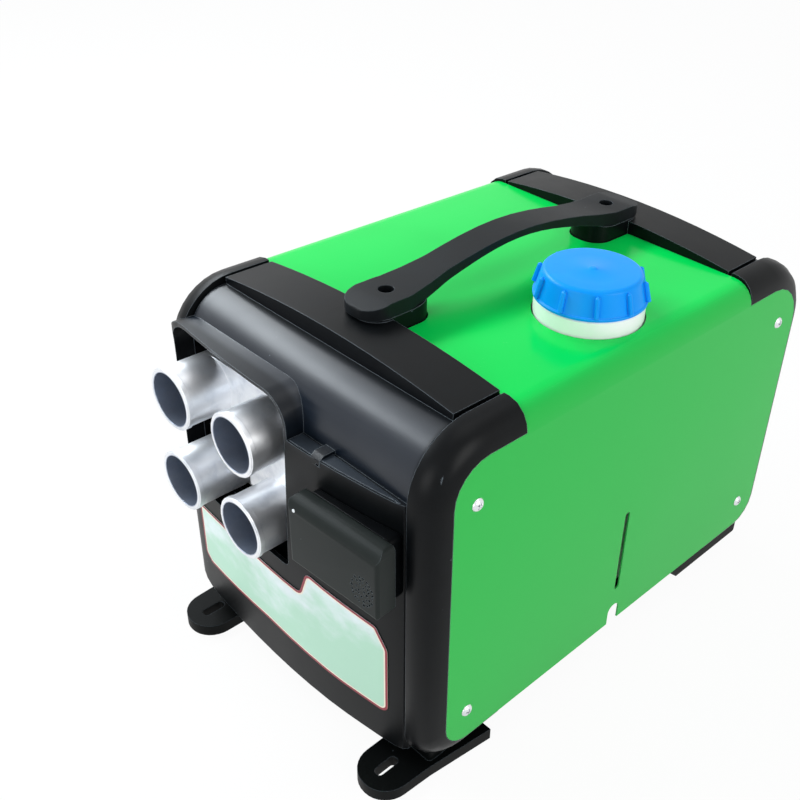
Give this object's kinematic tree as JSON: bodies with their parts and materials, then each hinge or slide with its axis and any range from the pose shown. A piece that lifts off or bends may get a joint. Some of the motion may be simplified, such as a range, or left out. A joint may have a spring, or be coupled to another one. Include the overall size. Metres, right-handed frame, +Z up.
{
  "type": "portable diesel air heater",
  "caption": "Portable diesel air heater: bent sheet cover between two moulded end caps, square of round hot-air outlets, fuel tank with screw cap, carry handle and slide-off controller.",
  "frame": {"origin": "centre of the bounding box in plan, at the underside of the feet", "axes": "+Z up, outlets and controller face -Y, fuel tank on the +X side"},
  "size_m": [0.2552, 0.394, 0.2935],
  "materials": {
    "black_plastic": "satin black moulding",
    "grained_plastic": "fine grain",
    "foot_plastic": "satin",
    "green_paint": "gloss powder coat",
    "cast_aluminium": "cast, machined ends",
    "steel": "zinc plated",
    "dark_steel": "black coated",
    "white_plastic": "blow moulded",
    "blue_plastic": "satin",
    "red_rubber": "moulded",
    "dark_rubber": "extruded hose",
    "glass_face": "tinted panel",
    "label_print": "printed foil",
    "board": "lacquered",
    "brass": "turned",
    "clear_amber": "clear"
  },
  "bodies": {
    "case": {"front_cap": "black_plastic", "rear_cap": "black_plastic", "cover": "green_paint", "base_plate": "dark_steel", "foot_front_right": "foot_plastic", "foot_front_left": "foot_plastic", "foot_rear_right": "foot_plastic", "foot_rear_left": "foot_plastic", "carry_handle": "grained_plastic", "handle_screw_1": "dark_steel", "handle_screw_2": "dark_steel", "cover_screw_1": "steel", "cover_screw_2": "steel", "cover_screw_3": "steel", "cover_screw_4": "steel", "cover_screw_5": "steel", "cover_screw_6": "steel", "cover_screw_7": "steel", "cover_screw_8": "steel", "fuel_tank": "white_plastic", "outlet_manifold": "cast_aluminium", "heater_duct": "black_plastic", "heater_duct_lid": "black_plastic", "heat_exchanger": "cast_aluminium", "exhaust_stub": "cast_aluminium", "combustion_intake_stub": "cast_aluminium", "glow_plug": "brass", "blower_motor": "dark_steel", "intake_grille": "black_plastic", "control_board": "board", "exhaust_pipe": "steel", "combustion_intake_pipe": "black_plastic", "fuel_pump": "steel", "fuel_filter": "clear_amber", "fuel_hose_1": "dark_rubber", "fuel_hose_2": "dark_rubber", "fuel_hose_3": "dark_rubber", "controller_cradle": "black_plastic", "front_label": "label_print", "power_inlet": "black_plastic", "inlet_pin_1": "brass", "inlet_pin_2": "brass"},
    "rotor": {"air_fan": "black_plastic", "motor_shaft": "steel", "combustion_fan": "cast_aluminium"},
    "fuel_cap_seal": {"fuel_cap_seal": "red_rubber"},
    "fuel_cap": {"fuel_cap": "blue_plastic"},
    "controller": {"controller_case": "black_plastic", "controller_face": "glass_face"}
  },
  "joints": [
    {"name": "rotor_spin", "type": "hinge", "parent": "case", "child": "rotor", "pos_m": [-0.0545, 0.132, 0.1722], "axis": [0, 1, 0], "continuous": true},
    {"name": "fuel_cap_lift", "type": "slide", "parent": "case", "child": "fuel_cap_seal", "axis": [0, 0, 1], "range_m": [0, 0.0066]},
    {"name": "fuel_cap_turn", "type": "hinge", "parent": "fuel_cap_seal", "child": "fuel_cap", "pos_m": [0.0735, 0.01, 0.28], "axis": [0, 0, 1], "range_deg": [0, 540]},
    {"name": "controller_slide", "type": "slide", "parent": "case", "child": "controller", "axis": [0, 0, 1], "range_m": [0, 0.03]}
  ],
  "couplings": [
    {"joint": "fuel_cap_lift", "follows": "fuel_cap_turn", "m_per_rad": 0.00063662}
  ]
}
